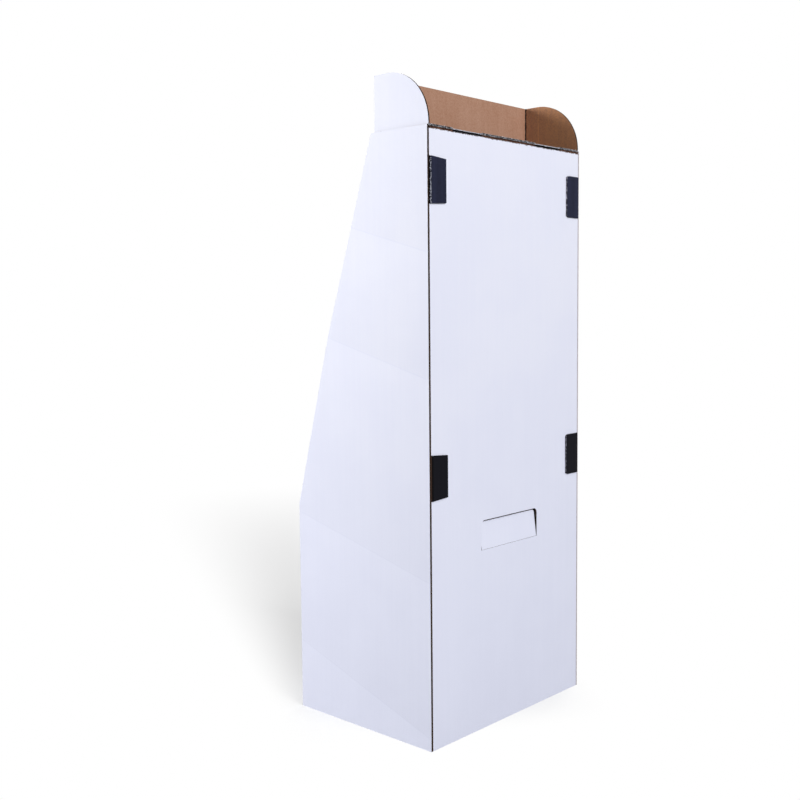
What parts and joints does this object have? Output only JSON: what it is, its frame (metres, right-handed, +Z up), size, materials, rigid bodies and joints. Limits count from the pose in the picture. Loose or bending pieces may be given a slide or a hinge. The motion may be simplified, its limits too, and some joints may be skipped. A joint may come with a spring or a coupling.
{
  "type": "cardboard display stand",
  "caption": "Free-standing corrugated cardboard display stand with sloping front, tilted shelves, header with rounded wings and folded locking tabs.",
  "frame": {"origin": "on the floor under the centre of the stand's bounding box", "axes": "+X to the stand's right seen from its open front, +Y to the back, +Z up"},
  "size_m": [0.43, 0.323, 1.121],
  "materials": {
    "side_board": "matt white print, brown edges",
    "back_board": "matt white print, brown edges",
    "header_board": "white outside, plain brown inside",
    "kick_board": "matt white print, brown edges",
    "black_board": "matt black print, grey edges"
  },
  "bodies": {
    "root": {"side_panel_left": "side_board", "side_panel_right": "side_board", "back_panel": "back_board", "header": "header_board", "kick_panel": "kick_board", "inner_wrap": "black_board", "top_board": "black_board", "shelf_top": "black_board", "shelf_upper": "black_board", "shelf_lower": "black_board", "shelf_bottom": "black_board"}
  },
  "joints": []
}
